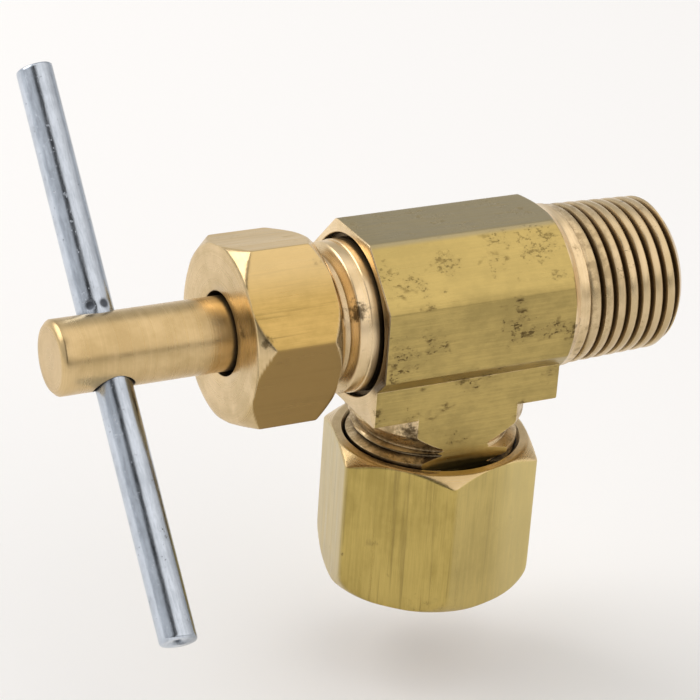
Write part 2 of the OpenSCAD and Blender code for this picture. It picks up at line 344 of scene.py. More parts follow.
def bar_shell():
    """Bar, foot, both threaded ends and the passage along the stem, as one closed surface."""
    shell = Turning(spaced(168, BODY_CORNERS + FOOT_CORNERS + FOOT_JOINTS, CORNER_SPREAD))
    octagon, foot = octagon_radius(shell.angles), foot_radius(shell.angles)
    left, right = BODY_LO.x, BODY_HI.x

    # packing chamber and the threaded packing neck
    depth = THREAD_DEPTH * GLAND_PITCH
    root, relief = GLAND_R - depth, GLAND_RELIEF
    shell.rings([(left + CHAMBER_DEPTH, CHAMBER_R), (left + 0.2, CHAMBER_R), (left, CHAMBER_R + 0.2),
                 (left, root - 0.05)])
    shell.helix(left, relief, GLAND_PITCH, GLAND_R, depth,
                outside_runout(left, root, 1.1, relief, root, 1.9), origin=GLAND_CREST)
    shell.rings([(relief + 0.1, root - 0.02), (relief + 0.34, root), (relief + 0.62, COLLAR_R - 0.2),
                 (relief + 0.7, COLLAR_R - 0.04), (relief + 0.78, COLLAR_R), (BAR_LEFT - 0.62, COLLAR_R),
                 (BAR_LEFT - 0.56, COLLAR_R + 0.06)])

    # ring groove in the end face
    groove_in, groove_out, groove_floor = 4.86, 5.21, BAR_LEFT + 0.55
    shell.rings([(BAR_LEFT, groove_in), (groove_floor - 0.05, groove_in), (groove_floor, groove_in + 0.04),
                 (groove_floor, groove_out - 0.04), (groove_floor - 0.05, groove_out),
                 (BAR_LEFT + 0.04, groove_out), (BAR_LEFT, groove_out + 0.04)])

    # end face, sides, the foot's far end and the cone
    both = np.maximum(octagon, foot)
    for inward, drop in ((0, 0.1), (0.012, 0.05), (0.04, 0.015)):
        shell.ring(BAR_LEFT + inward, both - drop)
    for x in (BAR_LEFT + 0.09, -5, -2, 1, 4, 5.6, 6.1, 6.2, 6.26, 6.32, 6.36):
        shell.ring(x, np.maximum(soft_min(octagon, inlet_cone(x), CONE_SHARPNESS), foot), SKIN)
    for step, drop in ((0.05, 0.01), (0.015, 0.04), (0.0, 0.09)):
        plain = soft_min(octagon, inlet_cone(FOOT_RIGHT - step), CONE_SHARPNESS)
        shell.ring(FOOT_RIGHT - step, np.where(foot > plain, np.maximum(foot - drop, plain), plain), SKIN)
    turned_from = BAR_RIGHT - 0.04
    for x in (6.452, 6.5, 6.56, 6.62, 6.68, 6.74, 6.85, 7.0, 7.12):
        cone = soft_min(octagon, inlet_cone(x), CONE_SHARPNESS)
        shell.ring(x, cone, TURNED if x > turned_from else SKIN)

    # neck and taper pipe thread
    start = PIPE_START
    shell.rings([(7.22, NECK_R), (7.4, NECK_R - 0.02), (7.7, NECK_R - 0.02), (start - 0.12, NECK_R),
                 (start - 0.05, NECK_R - 0.03)])

    def pipe_crest(x):
        return PIPE_END_R + (right - x) * PIPE_TAPER

    def pipe_limits(x, r):
        fade = np.clip((x - start) / 0.8, 0, 1) ** 0.7
        return np.minimum(pipe_crest(x) - (pipe_crest(x) - r) * fade, 4.41 + (right - x) * 1.15)

    shell.helix(start, right, PIPE_PITCH, pipe_crest, THREAD_DEPTH * PIPE_PITCH, pipe_limits,
                origin=PIPE_CREST, profile=PIPE_PROFILE)

    # inlet, orifice, seat and the internal thread for the stem
    bore_r, bore_start = STEM_THREAD_R + THREAD_GAP, left + CHAMBER_DEPTH + 0.1
    shell.rings([(right, INLET_R + 0.15), (right - 0.15, INLET_R), (6.4, INLET_R), (5.45, ORIFICE_R + 0.04),
                 (5.4, ORIFICE_R), (3.7, ORIFICE_R), (SEAT, bore_r), (STEM_BORE_END, bore_r)])
    shell.helix(bore_start, STEM_BORE_END, STEM_PITCH, bore_r, THREAD_DEPTH * STEM_PITCH,
                inside_runout(bore_start, STEM_BORE_END, bore_r, 0.9), backwards=True)
    return shell.mesh("bar_shell", "X")


def boss_solid():
    """Boss under the foot with the compression thread, flat at the front and back where it meets the leg."""
    boss = Turning(spaced(200))
    bottom, inside_bar = BODY_LO.z, -4.3
    depth = THREAD_DEPTH * BOSS_PITCH
    root = BOSS_THREAD_R - depth
    boss.rings([(bottom, 0), (bottom, root - 0.1)])
    boss.helix(bottom, BOSS_RELIEF, BOSS_PITCH, BOSS_THREAD_R, depth,
               outside_runout(bottom, root - 0.08, 1.2, BOSS_RELIEF, root - 0.02, 1.8), origin=BOSS_CREST)
    boss.rings([(-8.24, root - 0.02), (-8.1, root + 0.02), (-7.97, root + 0.14), (-7.6, 5.36),
                (-7.15, BOSS_R - 0.08), (-7.03, BOSS_R - 0.02), (-6.9, BOSS_R), (inside_bar, BOSS_R),
                (inside_bar, 0)])
    solid = boss.mesh("boss", "Z", closed=False)
    # a little proud of the leg, so that the two flats don't coincide
    half_width, half_depth, top = 8, LEG_HALF + 0.0004, inside_bar + 0.3
    slab = box_mesh("slab", (-half_width, -half_depth, bottom - 1), (half_width, half_depth, top))
    return combine(solid, slab, "INTERSECT")


def tube_passage():
    """Space taken out of the boss for the tube and for the flow."""
    bottom, top, flare = BODY_LO.z, TUBE_SOCKET_TOP, 0.86
    mouth_r, past_end = TUBE_SOCKET_R + flare, 0.5
    space = Turning(spaced(96))
    space.rings([(0, 0), (0, OUTLET_R), (top, OUTLET_R), (top, TUBE_SOCKET_R),
                 (bottom + flare, TUBE_SOCKET_R), (bottom, mouth_r), (bottom - past_end, mouth_r + past_end),
                 (bottom - past_end, 0)])
    return space.mesh("space", "Z", closed=False)


def body_mesh():
    solid = combine(bar_shell(), boss_solid(), "UNION")
    return combine(solid, tube_passage(), "DIFFERENCE")


# ---------------------------------------------------------------- nuts
INSIDE = 2.0
HEXAGON_SPREAD = (-3.2, -2.2, -1.4, -0.8, -0.35, 0, 0.35, 0.8, 1.4, 2.2, 3.2)


def hexagon_columns(first_flat):
    corners = [math.degrees(first_flat) + 30 + 60 * i for i in range(6)]
    return spaced(120, corners, HEXAGON_SPREAD)


def nut_sides(nut, first_flat, flat_r, power, places, cone, sharpness=22):
    """Rows along a hexagon that is cut by a turned outline, cone(place). Returns the turned share of each."""
    hexagon = polygon_radius(nut.angles, flat_r, 6, first_flat, power)
    flags = []
    for place in places:
        nut.ring(place, soft_min(hexagon, cone(place) + 0 * hexagon, sharpness))
        flags.append(np.clip((hexagon - cone(place)) / 0.05 + 0.5, 0, 1))
    return flags


def packing_nut_mesh():
    """Hexagon with a turned cone at both ends, the stem's hole and an internal thread."""
    lo, hi = PACKING_NUT_LO.x, PACKING_NUT_HI.x
    flat_r, hole_r, slope = PACKING_NUT_FLAT_R, PACKING_NUT_HOLE_R, 1.15
    first_flat = math.radians(PACKING_NUT_TURN) - math.pi / 2 + math.pi / 6
    nut = Turning(hexagon_columns(first_flat))
    cols = len(nut.angles)
    nut.rings([(lo + 0.14, hole_r), (lo + 0.04, hole_r + 0.02), (lo, hole_r + 0.08), (lo, 3.4), (lo, 4.1),
               (lo, 4.8), (lo, flat_r - 0.14), (lo + 0.02, flat_r - 0.05)])
    flags = [np.ones(cols)] * 8
    reach, steps = 1.12, 22
    ramp = [0.06 + reach * i / steps for i in range(steps + 1)]
    middle = [lo + 2.0, lo + 2.8, hi - 2.0]
    places = [lo + p for p in ramp] + middle + [hi - p for p in reversed(ramp)]
    flags += nut_sides(nut, first_flat, flat_r, 130, places,
                       lambda x: flat_r + 0.02 + min(x - lo, hi - x) / slope)
    bore_r = GLAND_R + THREAD_GAP
    nut.rings([(hi - 0.02, flat_r - 0.05), (hi, flat_r - 0.14), (hi, bore_r + 0.3), (hi - 0.25, bore_r)])
    floor = FOLLOWER_LO.x - 0.04
    start, end = floor + 0.4, hi - 0.3
    before = len(nut.along)
    nut.helix(start, end, GLAND_PITCH, bore_r, THREAD_DEPTH * GLAND_PITCH,
              inside_runout(start, end, bore_r, 1.2), origin=GLAND_CREST, backwards=True)
    nut.rings([(floor + 0.1, bore_r), (floor, bore_r - 0.1), (floor, hole_r)])
    flags += [np.ones(cols)] * 4 + [np.full(cols, INSIDE)] * (len(nut.along) - before)
    return nut.mesh("packing_nut", "X", flags=np.concatenate(flags))


def tube_nut_mesh():
    """Hexagon chamfered at the top and rounded at the bottom, with the tube's hole and an internal thread."""
    lo, hi = TUBE_NUT_LO.z, TUBE_NUT_HI.z
    flat_r, corner_r, rim_r = TUBE_NUT_FLAT_R, TUBE_NUT_CORNER_R, TUBE_NUT_RIM_R
    first_flat = math.radians(TUBE_NUT_TURN + 30)
    nut = Turning(hexagon_columns(first_flat))
    cols = len(nut.angles)
    round_height, chamfer_height = 3.0, 0.9

    def outline(z):
        top = flat_r - 0.02 + (hi - z) / 0.66
        height = min(max((z - lo) / round_height, 0), 1)
        bottom = rim_r + (corner_r - rim_r) * (1 - (1 - height) ** 2) ** 0.6
        return min(top, bottom) if height < 1 else top

    bore_r, hole_r = BOSS_THREAD_R + THREAD_GAP, TUBE_HOLE_R
    nut.rings([(lo + 0.2, hole_r), (lo + 0.05, hole_r + 0.05), (lo, hole_r + 0.2), (lo, 4.6), (lo, 5.6),
               (lo, rim_r - 0.35), (lo + 0.01, rim_r - 0.2), (lo + 0.03, rim_r - 0.1)])
    flags = [np.ones(cols)] * 8
    low_places = [lo + 0.06 + round_height * (i / 30) ** 1.5 for i in range(31)]
    nut_sides(nut, first_flat, flat_r, 70, low_places, outline, 14)
    flags += [np.zeros(cols)] * len(low_places)
    chamfer_places = [hi - chamfer_height * (22 - i) / 22 - 0.04 for i in range(23)]
    places = [lo + 4.5, hi - 2.4, hi - 1.2] + chamfer_places
    flags += nut_sides(nut, first_flat, flat_r, 70, places, outline)
    nut.rings([(hi - 0.01, flat_r - 0.1), (hi, flat_r - 0.18), (hi, bore_r + 0.2), (hi - 0.25, bore_r)])
    before = len(nut.along)
    start, end, sleeve_room_r = -15.9, hi - 0.3, 4.25
    nut.helix(start, end, BOSS_PITCH, bore_r, THREAD_DEPTH * BOSS_PITCH,
              inside_runout(start, end, bore_r, 1.2), origin=BOSS_CREST, backwards=True)
    nut.rings([(start - 0.1, bore_r), (-16.1, sleeve_room_r), (-17.2, sleeve_room_r), (-17.55, 3.7),
               (-17.55, hole_r)])
    flags += [np.ones(cols)] * 4 + [np.full(cols, INSIDE)] * (len(nut.along) - before)
    return nut.mesh("compression_nut", "Z", flags=np.concatenate(flags))


# ---------------------------------------------------------------- stem and handle bar
def tilt_to_bar(mesh):
    """Moves a mesh made about Z to the bar's place."""
    lean = Matrix.Rotation(math.radians(-BAR_LEAN), 4, "X")
    back = Matrix.Translation(-ORIGIN * MM)
    out = Matrix.Translation((ORIGIN + Vector((BAR_REACH, 0, 0))) * MM)
    mesh.transform(out @ lean @ back)
    return mesh


def stem_mesh():
    """Stem with its thread, the needle's hole in its end and the cross hole for the bar."""
    left, right = STEM_LO.x, STEM_HI.x
    start, end = STEM_THREAD_LEFT, STEM_THREAD_RIGHT
    stem = Turning(spaced(128))
    stem.rings([(left, 0), (left, 0.5), (left, 1.2), (left, 1.8), (left, STEM_R - 0.34),
                (left + 0.03, STEM_R - 0.25), (left + 0.24, STEM_R - 0.04), (left + 0.31, STEM_R),
                (left + 1, STEM_R), (-20, STEM_R), (-14, STEM_R), (start - 0.1, STEM_R),
                (start, STEM_R + 0.1)])
    depth = THREAD_DEPTH * STEM_PITCH
    foot_r = STEM_THREAD_R - depth - 0.1
    stem.helix(start, end, STEM_PITCH, STEM_THREAD_R, depth,
               outside_runout(start, foot_r, 1.3, end, foot_r, 1.3))
    tip_r, shank_r, shank_end = 2.3, NEEDLE_SHANK_R, NEEDLE_SHANK_END
    stem.rings([(end, tip_r), (right - 0.2, tip_r), (right, tip_r - 0.2), (right, shank_r + 0.1),
                (right - 0.1, shank_r), (shank_end, shank_r), (shank_end - 0.4, 0)])
    solid = stem.mesh("stem", "X", closed=False)
    hole_r = BAR_R + 0.05
    hole = Turning(spaced(64))
    hole.rings([(-4, 0), (-4, hole_r + 0.6), (-2.5, hole_r + 0.22), (-2.1, hole_r), (2.1, hole_r),
                (2.5, hole_r + 0.22), (4, hole_r + 0.6), (4, 0)])
    return combine(solid, tilt_to_bar(hole.mesh("hole", "Z", closed=False)), "DIFFERENCE")


def handle_bar_mesh():
    """Sheared steel rod, cut a little askew at both ends, and the stakes that hold it in the stem."""
    bar = Turning(spaced(72))
    askew = 0.12 * (1 - np.cos(bar.angles - 0.6))
    low, high = BAR_SHIFT - BAR_HALF + askew, BAR_SHIFT + BAR_HALF - askew
    end_rows = ((0.0, 0.0), (0.0, 0.5), (0.0, 0.95), (0.02, 1.06), (0.09, BAR_R - 0.02), (0.2, BAR_R))
    for inward, radius in end_rows:
        bar.ring(low + inward, radius)
    # rows from, to and how many: close together round the stakes
    stretches = ((-17.9, -3.2, 8), (-2.9, 2.3, 14), (2.4, 4.0, 34), (4.4, 18.2, 8))
    for t in np.concatenate([np.linspace(*stretch) for stretch in stretches]):
        bar.ring(t, BAR_R - STAKE_DEPTH * stakes(t, bar.angles))
    for inward, radius in reversed(end_rows):
        bar.ring(high - inward, radius)
    marks = np.concatenate([stakes(t, bar.angles) for t in np.array(bar.along).mean(1)])
    return tilt_to_bar(bar.mesh("handle_bar", "Z", closed=False, flags=marks))


def stakes(t, angles):
    """How much of each place lies in the two punched stakes above the stem, on the side that faces front."""
    share = 0 * angles
    for facing in STAKE_FACINGS:
        turn = np.degrees((angles - math.radians(facing) + math.pi) % (2 * math.pi) - math.pi)
        share = share + np.exp(-(turn / STAKE_WIDTH) ** 2 - ((t - STAKE_PLACE) / STAKE_LENGTH) ** 2)
    return share


# ---------------------------------------------------------------- materials
class Nodes:
    """Builds the nodes of a material or of the world."""

    def __init__(self, owner, space="Object"):
        owner.use_nodes = True
        self.owner = owner
        self.tree = owner.node_tree
        self.tree.nodes.clear()
        self.place = self.add("TexCoord").outputs[space]

    def add(self, kind, inputs=(), **settings):
        node = self.tree.nodes.new("ShaderNode" + kind)
        for key, value in settings.items():
            setattr(node, key, value)
        for key, value in dict(inputs).items():
            self.feed(node.inputs[key], value)
        return node

    def feed(self, socket, value):
        if isinstance(value, bpy.types.NodeSocket):
            self.tree.links.new(value, socket)
        else:
            socket.default_value = value

    def math(self, operation, a, b=0.0, clamp=False):
        node = self.add("Math", {0: a, 1: b}, operation=operation)
        node.use_clamp = clamp
        return node.outputs[0]

    def times(self, a, b, clamp=False):
        return self.math("MULTIPLY", a, b, clamp)

    def plus(self, a, b):
        return self.math("ADD", a, b)

    def weighted(self, *parts):
        """Sum of (value, weight) parts."""
        total = self.times(*parts[0])
        for value, weight in parts[1:]:
            total = self.plus(total, self.times(value, weight))
        return total

    def noise(self, vector, scale, detail=3.0, rough=0.55):
        """Noise over a vector, in features per metre: one number, or three for x, y and z."""
        scale = scale if isinstance(scale, tuple) else (scale,) * 3
        spread = self.add("Mapping", {"Vector": vector, "Scale": scale})
        made = self.add("TexNoise", {"Vector": spread.outputs[0], "Scale": 1.0, "Detail": detail,
                                     "Roughness": rough})
        return made.outputs["Fac"]

    def ramp(self, value, low, high, to_low=0.0, to_high=1.0):
        """Smooth step from to_low, where the value is low, to to_high."""
        node = self.add("MapRange", {"Value": value, "From Min": low, "From Max": high, "To Min": to_low,
                                     "To Max": to_high}, interpolation_type="SMOOTHSTEP")
        return node.outputs[0]

    def mix(self, share, a, b):
        node = self.add("Mix", data_type="RGBA")
        self.feed(node.inputs["Factor"], share)
        self.feed(node.inputs["A"], a)
        self.feed(node.inputs["B"], b)
        return node.outputs["Result"]

    def blend(self, share, a, b):
        """Between two numbers."""
        node = self.add("Mix", data_type="FLOAT")
        self.feed(node.inputs[0], share)
        self.feed(node.inputs[2], a)
        self.feed(node.inputs[3], b)
        return node.outputs[0]

    def distance_from(self, axis):
        """Distance from the stem's axis "X" or the outlet's axis "Z", in metres."""
        moved = self.add("VectorMath", {0: self.place, 1: tuple(-ORIGIN * MM)}, operation="ADD").outputs[0]
        keep = (0, 1, 1) if axis == "X" else (1, 1, 0)
        flat = self.add("VectorMath", {0: moved, 1: keep}, operation="MULTIPLY").outputs[0]
        return self.add("VectorMath", {0: flat}, operation="LENGTH").outputs["Value"]

    def coordinate(self, axis):
        """Place along one axis of the valve frame, in millimetres."""
        place = self.add("SeparateXYZ", {0: self.place}).outputs[axis]
        return self.math("SUBTRACT", self.math("DIVIDE", place, MM), ORIGIN["XYZ".index(axis)])

    def ragged_spot(self, centre, reach):
        """1 at a place in the valve frame and 0 beyond its ragged reach, both in millimetres."""
        spot = tuple((Vector(centre) + ORIGIN) * MM)
        away = self.add("VectorMath", {0: self.place, 1: spot}, operation="DISTANCE").outputs["Value"]
        ragged = self.times(self.noise(self.place, 1900, 5.0, 0.75), 2.4 * reach * MM)
        return self.ramp(self.plus(away, ragged), 1.9 * reach * MM, 1.35 * reach * MM)

    def any_of(self, shares):
        """The most of several shares."""
        most = shares[0]
        for share in shares[1:]:
            most = self.math("MAXIMUM", most, share)
        return most

    def darken(self, colour, share):
        return self.mix(share, colour, rgb(0, 0, 0))

    def edges(self, radius):
        """1 on edges that stand out, 0 on flat places."""
        bent = self.add("Bevel", {"Radius": radius * MM}, samples=4).outputs[0]
        plain = self.add("NewGeometry").outputs["Normal"]
        same = self.add("VectorMath", {0: bent, 1: plain}, operation="DOT_PRODUCT").outputs["Value"]
        hollow = self.corners(radius * 2)
        return self.times(self.ramp(same, 0.995, 0.90), self.math("SUBTRACT", 1.0, hollow, True))

    def corners(self, reach):
        """1 in grooves and inner corners."""
        open_sky = self.add("AmbientOcclusion", {"Distance": reach * MM}, samples=6).outputs["AO"]
        return self.ramp(open_sky, 0.85, 0.35)

    def finish(self, colour, roughness, height, metallic=1.0, bump=0.02):
        """The material, from its three maps. bump is the height of the relief, in millimetres."""
        lift = self.add("Bump", {"Height": height, "Distance": bump * MM, "Strength": 1.0})
        shader = self.add("BsdfPrincipled", {"Base Color": colour, "Roughness": roughness,
                                             "Metallic": metallic, "Normal": lift.outputs[0]})
        out = self.add("OutputMaterial")
        self.tree.links.new(shader.outputs[0], out.inputs["Surface"])
        return self.owner


def metal(name):
    return Nodes(bpy.data.materials.new(name))


def rgb(red, green, blue):
    return (red, green, blue, 1.0)


# Dirt and tarnish, and the dark colours of painted shade and the grey of a painted reflection
# grime and painted shade in corners, grooves and gaps
GRIME_AND_SHADE = rgb(0.030, 0.016, 0.006)
PIT = rgb(0.115, 0.075, 0.028)
# painted reflection: grey on the body's top flat
GREY_TOP_REFLECTION = rgb(0.33, 0.29, 0.20)
TARNISH = rgb(0.20, 0.145, 0.055)
DARK_BAND = rgb(0.21, 0.15, 0.05)
BROWN = rgb(0.17, 0.105, 0.04)
# dirt and painted shade in the roots of the pipe thread
THREAD_ROOT_DIRT_AND_SHADE = rgb(0.115, 0.07, 0.03)
UNLIT = rgb(0.012, 0.007, 0.004)
STEEL_MARK = rgb(0.10, 0.11, 0.12)
# dirt and painted shade on the steel rods
STEEL_DIRT_AND_SHADE = rgb(0.03, 0.035, 0.045)

# Brass, where two tones are the lighter and the darker one that a finish varies between
BRIGHT = rgb(0.86, 0.68, 0.42)
SKIN_TONES = (rgb(0.52, 0.385, 0.135), rgb(0.36, 0.27, 0.095))
# painted light: the body's upper facets are painted lighter
LIT_UPPER_SKIN = rgb(0.68, 0.51, 0.18)
TURNED_TONES = (rgb(0.74, 0.555, 0.31), rgb(0.56, 0.41, 0.20))
BODY_TURNED_TONES = (rgb(0.92, 0.71, 0.44), rgb(0.68, 0.51, 0.28))
# painted shade: the lower half of the body's turned parts is painted darker
LOWER_TURNED_SHADE = rgb(0.46, 0.34, 0.165)
PIPE_THREAD = rgb(0.50, 0.385, 0.22)
STEM_TONES = (rgb(0.68, 0.50, 0.26), rgb(0.53, 0.38, 0.18))
PACKING_NUT_TONES = (rgb(0.63, 0.42, 0.14), rgb(0.48, 0.32, 0.10))
TUBE_NUT_TONES = (rgb(0.55, 0.415, 0.13), rgb(0.39, 0.29, 0.083))

# Steel and packing
BAR_TONES = (rgb(0.60, 0.655, 0.735), rgb(0.46, 0.505, 0.57))
NEEDLE_TONES = (rgb(0.72, 0.73, 0.74), rgb(0.58, 0.59, 0.60))
PACKING_TONES = (rgb(0.30, 0.29, 0.27), rgb(0.045, 0.043, 0.042))

# Painted light and shade on the nuts' flats, lighter or darker by side: axis, where it starts and where it is
# full, share and colour
PAINTED_PALE_LIGHT = rgb(0.78, 0.64, 0.30)
PACKING_NUT_PAINTED_SHADING = (("Z", 1.6, 1.3, 0.9, rgb(0.29, 0.185, 0.065)),
                       ("Z", 3.2, 5.6, 0.6, rgb(0.76, 0.57, 0.29)))
TUBE_NUT_PAINTED_SHADING = (("X", -1.9, -1.5, 0.2, PAINTED_PALE_LIGHT), ("X", 1.0, 3.5, 0.45, PAINTED_PALE_LIGHT),
                    ("Y", -2.1, -1.7, 0.45, rgb(0.72, 0.61, 0.38)))


def pitting(n, amount, crowds=()):
    """Dark pits in drifting clusters, with more of them in the crowds. Returns the pits and the clusters."""
    drift = n.ramp(n.noise(n.place, (330, 420, 420), 3.0, 0.65), 0.62 - amount, 0.74 - amount)
    cluster = n.any_of([drift, *crowds])
    blots = n.ramp(n.noise(n.place, (1050, 1800, 1800), 4.0, 0.66), 0.545, 0.615)
    specks = n.ramp(n.noise(n.place, (2900, 5200, 5200), 3.0, 0.7), 0.575, 0.66)
    lone = n.ramp(n.noise(n.place, (1300, 1900, 1900), 3.0, 0.6), 0.71, 0.75)
    pits = n.times(n.math("MAXIMUM", blots, specks), cluster)
    return n.math("MAXIMUM", pits, n.times(lone, amount * 6, True)), cluster


def drawn_skin(n, axis, light, dark, pits, crowds=(), bands=0.0):
    """Drawn brass: streaks along the bar, tarnish, small pits and a share of dark bands. Returns colour,
    roughness and height."""
    along = {"X": (160, 5200, 5200), "Z": (4200, 4200, 150)}[axis]
    fine = {"X": (500, 16000, 16000), "Z": (14000, 14000, 420)}[axis]
    streak = n.noise(n.place, along, 4.0, 0.6)
    hair = n.noise(n.place, fine, 3.0, 0.6)
    patch = n.noise(n.place, (210, 260, 260), 4.0, 0.6)
    mottle = n.noise(n.place, {"X": (900, 1300, 1300), "Z": (1300, 1300, 260)}[axis], 5.0, 0.7)
    tone = n.weighted((patch, 0.4), (streak, 0.3), (mottle, 0.3))
    colour = n.mix(n.ramp(tone, 0.38, 0.60), dark, light)
    colour = n.mix(n.ramp(hair, 0.62, 0.30, 0.0, 0.35), colour, dark)
    band = n.noise(n.place, {"X": (50, 1900, 1900), "Z": (1900, 1900, 50)}[axis], 4.0, 0.65)
    colour = n.mix(n.times(n.ramp(band, 0.54, 0.68), bands), colour, DARK_BAND)
    pit, cluster = pitting(n, pits, crowds)
    tarnish = n.times(cluster, n.ramp(mottle, 0.42, 0.58))
    colour = n.mix(n.times(tarnish, 0.45), colour, TARNISH)
    colour = n.mix(n.times(pit, 0.85), colour, PIT)
    roughness = n.blend(pit, n.ramp(streak, 0.3, 0.7, 0.27, 0.42), 0.65)
    lines = n.times(n.plus(streak, n.times(hair, 0.6)), 0.22)
    return colour, roughness, n.math("SUBTRACT", lines, pit)


def turned_face(n, axis, light, dark):
    """Brass cut on the lathe: fine rings round the axis, brighter and pinker than the drawn skin."""
    out = n.distance_from(axis)
    place = n.add("SeparateXYZ", {0: n.place}).outputs[axis]
    lines = n.add("CombineXYZ", {0: out, 1: place}).outputs[0]
    ring = n.noise(lines, (9500, 9500, 1), 3.0, 0.7)
    broad = n.noise(lines, (1500, 1500, 1), 3.0, 0.6)
    patch = n.noise(n.place, 420, 4.0, 0.6)
    colour = n.mix(n.ramp(n.weighted((patch, 0.7), (broad, 0.3)), 0.35, 0.62), dark, light)
    colour = n.mix(n.ramp(ring, 0.62, 0.32, 0.0, 0.3), colour, dark)
    roughness = n.ramp(broad, 0.3, 0.7, 0.24, 0.32)
    return colour, roughness, n.weighted((ring, 0.35), (broad, 0.12))


def worn_and_shaded(n, colour, roughness, bright, edge=0.09, hollow=0.5, grime_and_shade=0.85, dirt_and_shade_colour=GRIME_AND_SHADE):
    """Adds polished edges, and darkens the corners and grooves, partly grime and partly painted shade."""
    wear = n.times(n.edges(edge), n.ramp(n.noise(n.place, 900, 3.0), 0.3, 0.55))
    # grime and painted shade: darker where the ambient occlusion finds corners and grooves
    darkening = n.times(n.corners(hollow), grime_and_shade)
    colour = n.mix(n.times(wear, 0.75), colour, bright)
    roughness = n.blend(n.times(wear, 0.6), roughness, 0.2)
    colour = n.mix(darkening, colour, dirt_and_shade_colour)
    return colour, n.blend(darkening, roughness, 0.6)


# Places on the body where dirt and pits gather, a dark spot at the collar and the painted shade at the
# compression nut's mouth, in the valve frame
FOOT_STAIN = (-0.6, -LEG_HALF, -3.4)
BOSS_STAIN = (-4.2, -LEG_HALF, -6.8)
NECK_STAIN = (7.9, -3.6, 3.9)
LOW_CORNER_PITS = (-5.5, -OCTAGON_FLAT, -0.6)
FRONT_PITS = (2.2, -OCTAGON_FLAT, 0.4)
UPPER_PITS = (-1.8, -3.7, 4.3)
CONE_PITS = (5.0, -3.4, 4.9)
MOUTH_GAP_SHADE = (-2.2, -4.6, -9.0)
COLLAR_DARK_SPOT = (-8.3, -4.3, 2.3)
# and on the packing nut
HOLE_SMUDGE = (-15.4, -3.1, 1.5)
CORNER_SMUDGE = (-14.9, -5.6, 1.8)


def body_skin():
    n = metal("drawn_brass")
    crowds = [n.ragged_spot(LOW_CORNER_PITS, 2.0), n.ragged_spot(FRONT_PITS, 1.8), n.ragged_spot(UPPER_PITS, 1.5),
              n.ragged_spot(CONE_PITS, 2.6)]
    colour, roughness, height = drawn_skin(n, "X", *SKIN_TONES, 0.10, crowds)
    height_on_body = n.coordinate("Z")
    # painted light: lighter on the upper facets
    colour = n.mix(n.ramp(height_on_body, 2.3, 2.9, 0.0, 0.4), colour, LIT_UPPER_SKIN)
    # painted reflection: the top flat is painted grey
    colour = n.mix(n.ramp(height_on_body, OCTAGON_FLAT - 0.3, OCTAGON_FLAT - 0.05, 0.0, 0.65), colour, GREY_TOP_REFLECTION)
    darkening = n.any_of([n.ragged_spot(FOOT_STAIN, 0.6), n.ragged_spot(BOSS_STAIN, 1.0)])
    colour = n.mix(n.times(darkening, 0.85), colour, PIT)
    colour, roughness = worn_and_shaded(n, colour, n.blend(darkening, roughness, 0.6), BRIGHT, 0.1, 0.5, 0.6)
    return n.finish(colour, roughness, height)


def turned_brass(name, axis, tones, edge=0.07, hollow=0.6, grime_and_shade=0.9):
    n = metal(name)
    colour, roughness, height = turned_face(n, axis, *tones)
    colour, roughness = worn_and_shaded(n, colour, roughness, BRIGHT, edge, hollow, grime_and_shade)
    return n.finish(colour, roughness, height, bump=0.012)


def body_turned():
    """The turned ends of the body, stained where the neck meets the first threads and round the boss, with
    painted shade on the lower half, on a band of the left end face and in the gap at the compression nut's
    mouth.
    """
    n = metal("turned_body")
    colour, roughness, height = turned_face(n, "X", *BODY_TURNED_TONES)
    x, z = n.coordinate("X"), n.coordinate("Z")
    ragged = n.noise(n.place, 1400, 5.0, 0.75)
    drift = n.noise(n.place, 260, 3.0, 0.6)
    first_turns = n.times(n.ramp(x, 7.5, 8.1), n.ramp(x, 11.5, 9.0))
    under_foot = n.ramp(z, -5.9, -6.8)
    zone = n.any_of([n.times(first_turns, 0.75), under_foot, n.ragged_spot(NECK_STAIN, 1.1)])
    brown = n.times(zone, n.ramp(n.weighted((ragged, 0.6), (drift, 0.4)), 0.46, 0.58))
    colour = n.mix(n.times(brown, 0.7), colour, BROWN)
    # painted shade: darker towards the bottom
    colour = n.mix(n.ramp(z, 1.5, -1.5, 0.0, 0.4), colour, LOWER_TURNED_SHADE)
    colour = n.mix(n.ramp(x, 7.9, 8.4, 0.0, 0.45), colour, PIPE_THREAD)
    # painted shade: a middle band of the left end face is painted near black
    end_face = n.times(n.ramp(x, -6.95, -6.85), n.ramp(x, -6.5, -6.6))
    shaded_part = n.times(n.ramp(z, 3.2, 1.5), n.ramp(z, -3.8, -3.0))
    colour = n.mix(n.times(n.times(end_face, shaded_part), 0.85), colour, GRIME_AND_SHADE)
    # painted shade in the gap at the compression nut's mouth, a dark spot at the collar and a stain on the
    # boss
    black = n.any_of([n.ragged_spot(MOUTH_GAP_SHADE, 2.3), n.ragged_spot(COLLAR_DARK_SPOT, 1.3), n.ragged_spot(BOSS_STAIN, 1.7)])
    colour = n.mix(n.times(black, 0.85), colour, GRIME_AND_SHADE)
    pit, _ = pitting(n, 0.05)
    colour = n.mix(n.times(pit, 0.7), colour, PIT)
    # the thread roots are painted dark, partly dirt and partly painted shade
    root_colour = n.mix(n.ramp(x, 8.0, 9.5), GRIME_AND_SHADE, THREAD_ROOT_DIRT_AND_SHADE)
    colour, roughness = worn_and_shaded(n, colour, n.blend(brown, roughness, 0.5), BRIGHT, 0.07, 0.5, 1.0, root_colour)
    return n.finish(colour, roughness, height, bump=0.012)


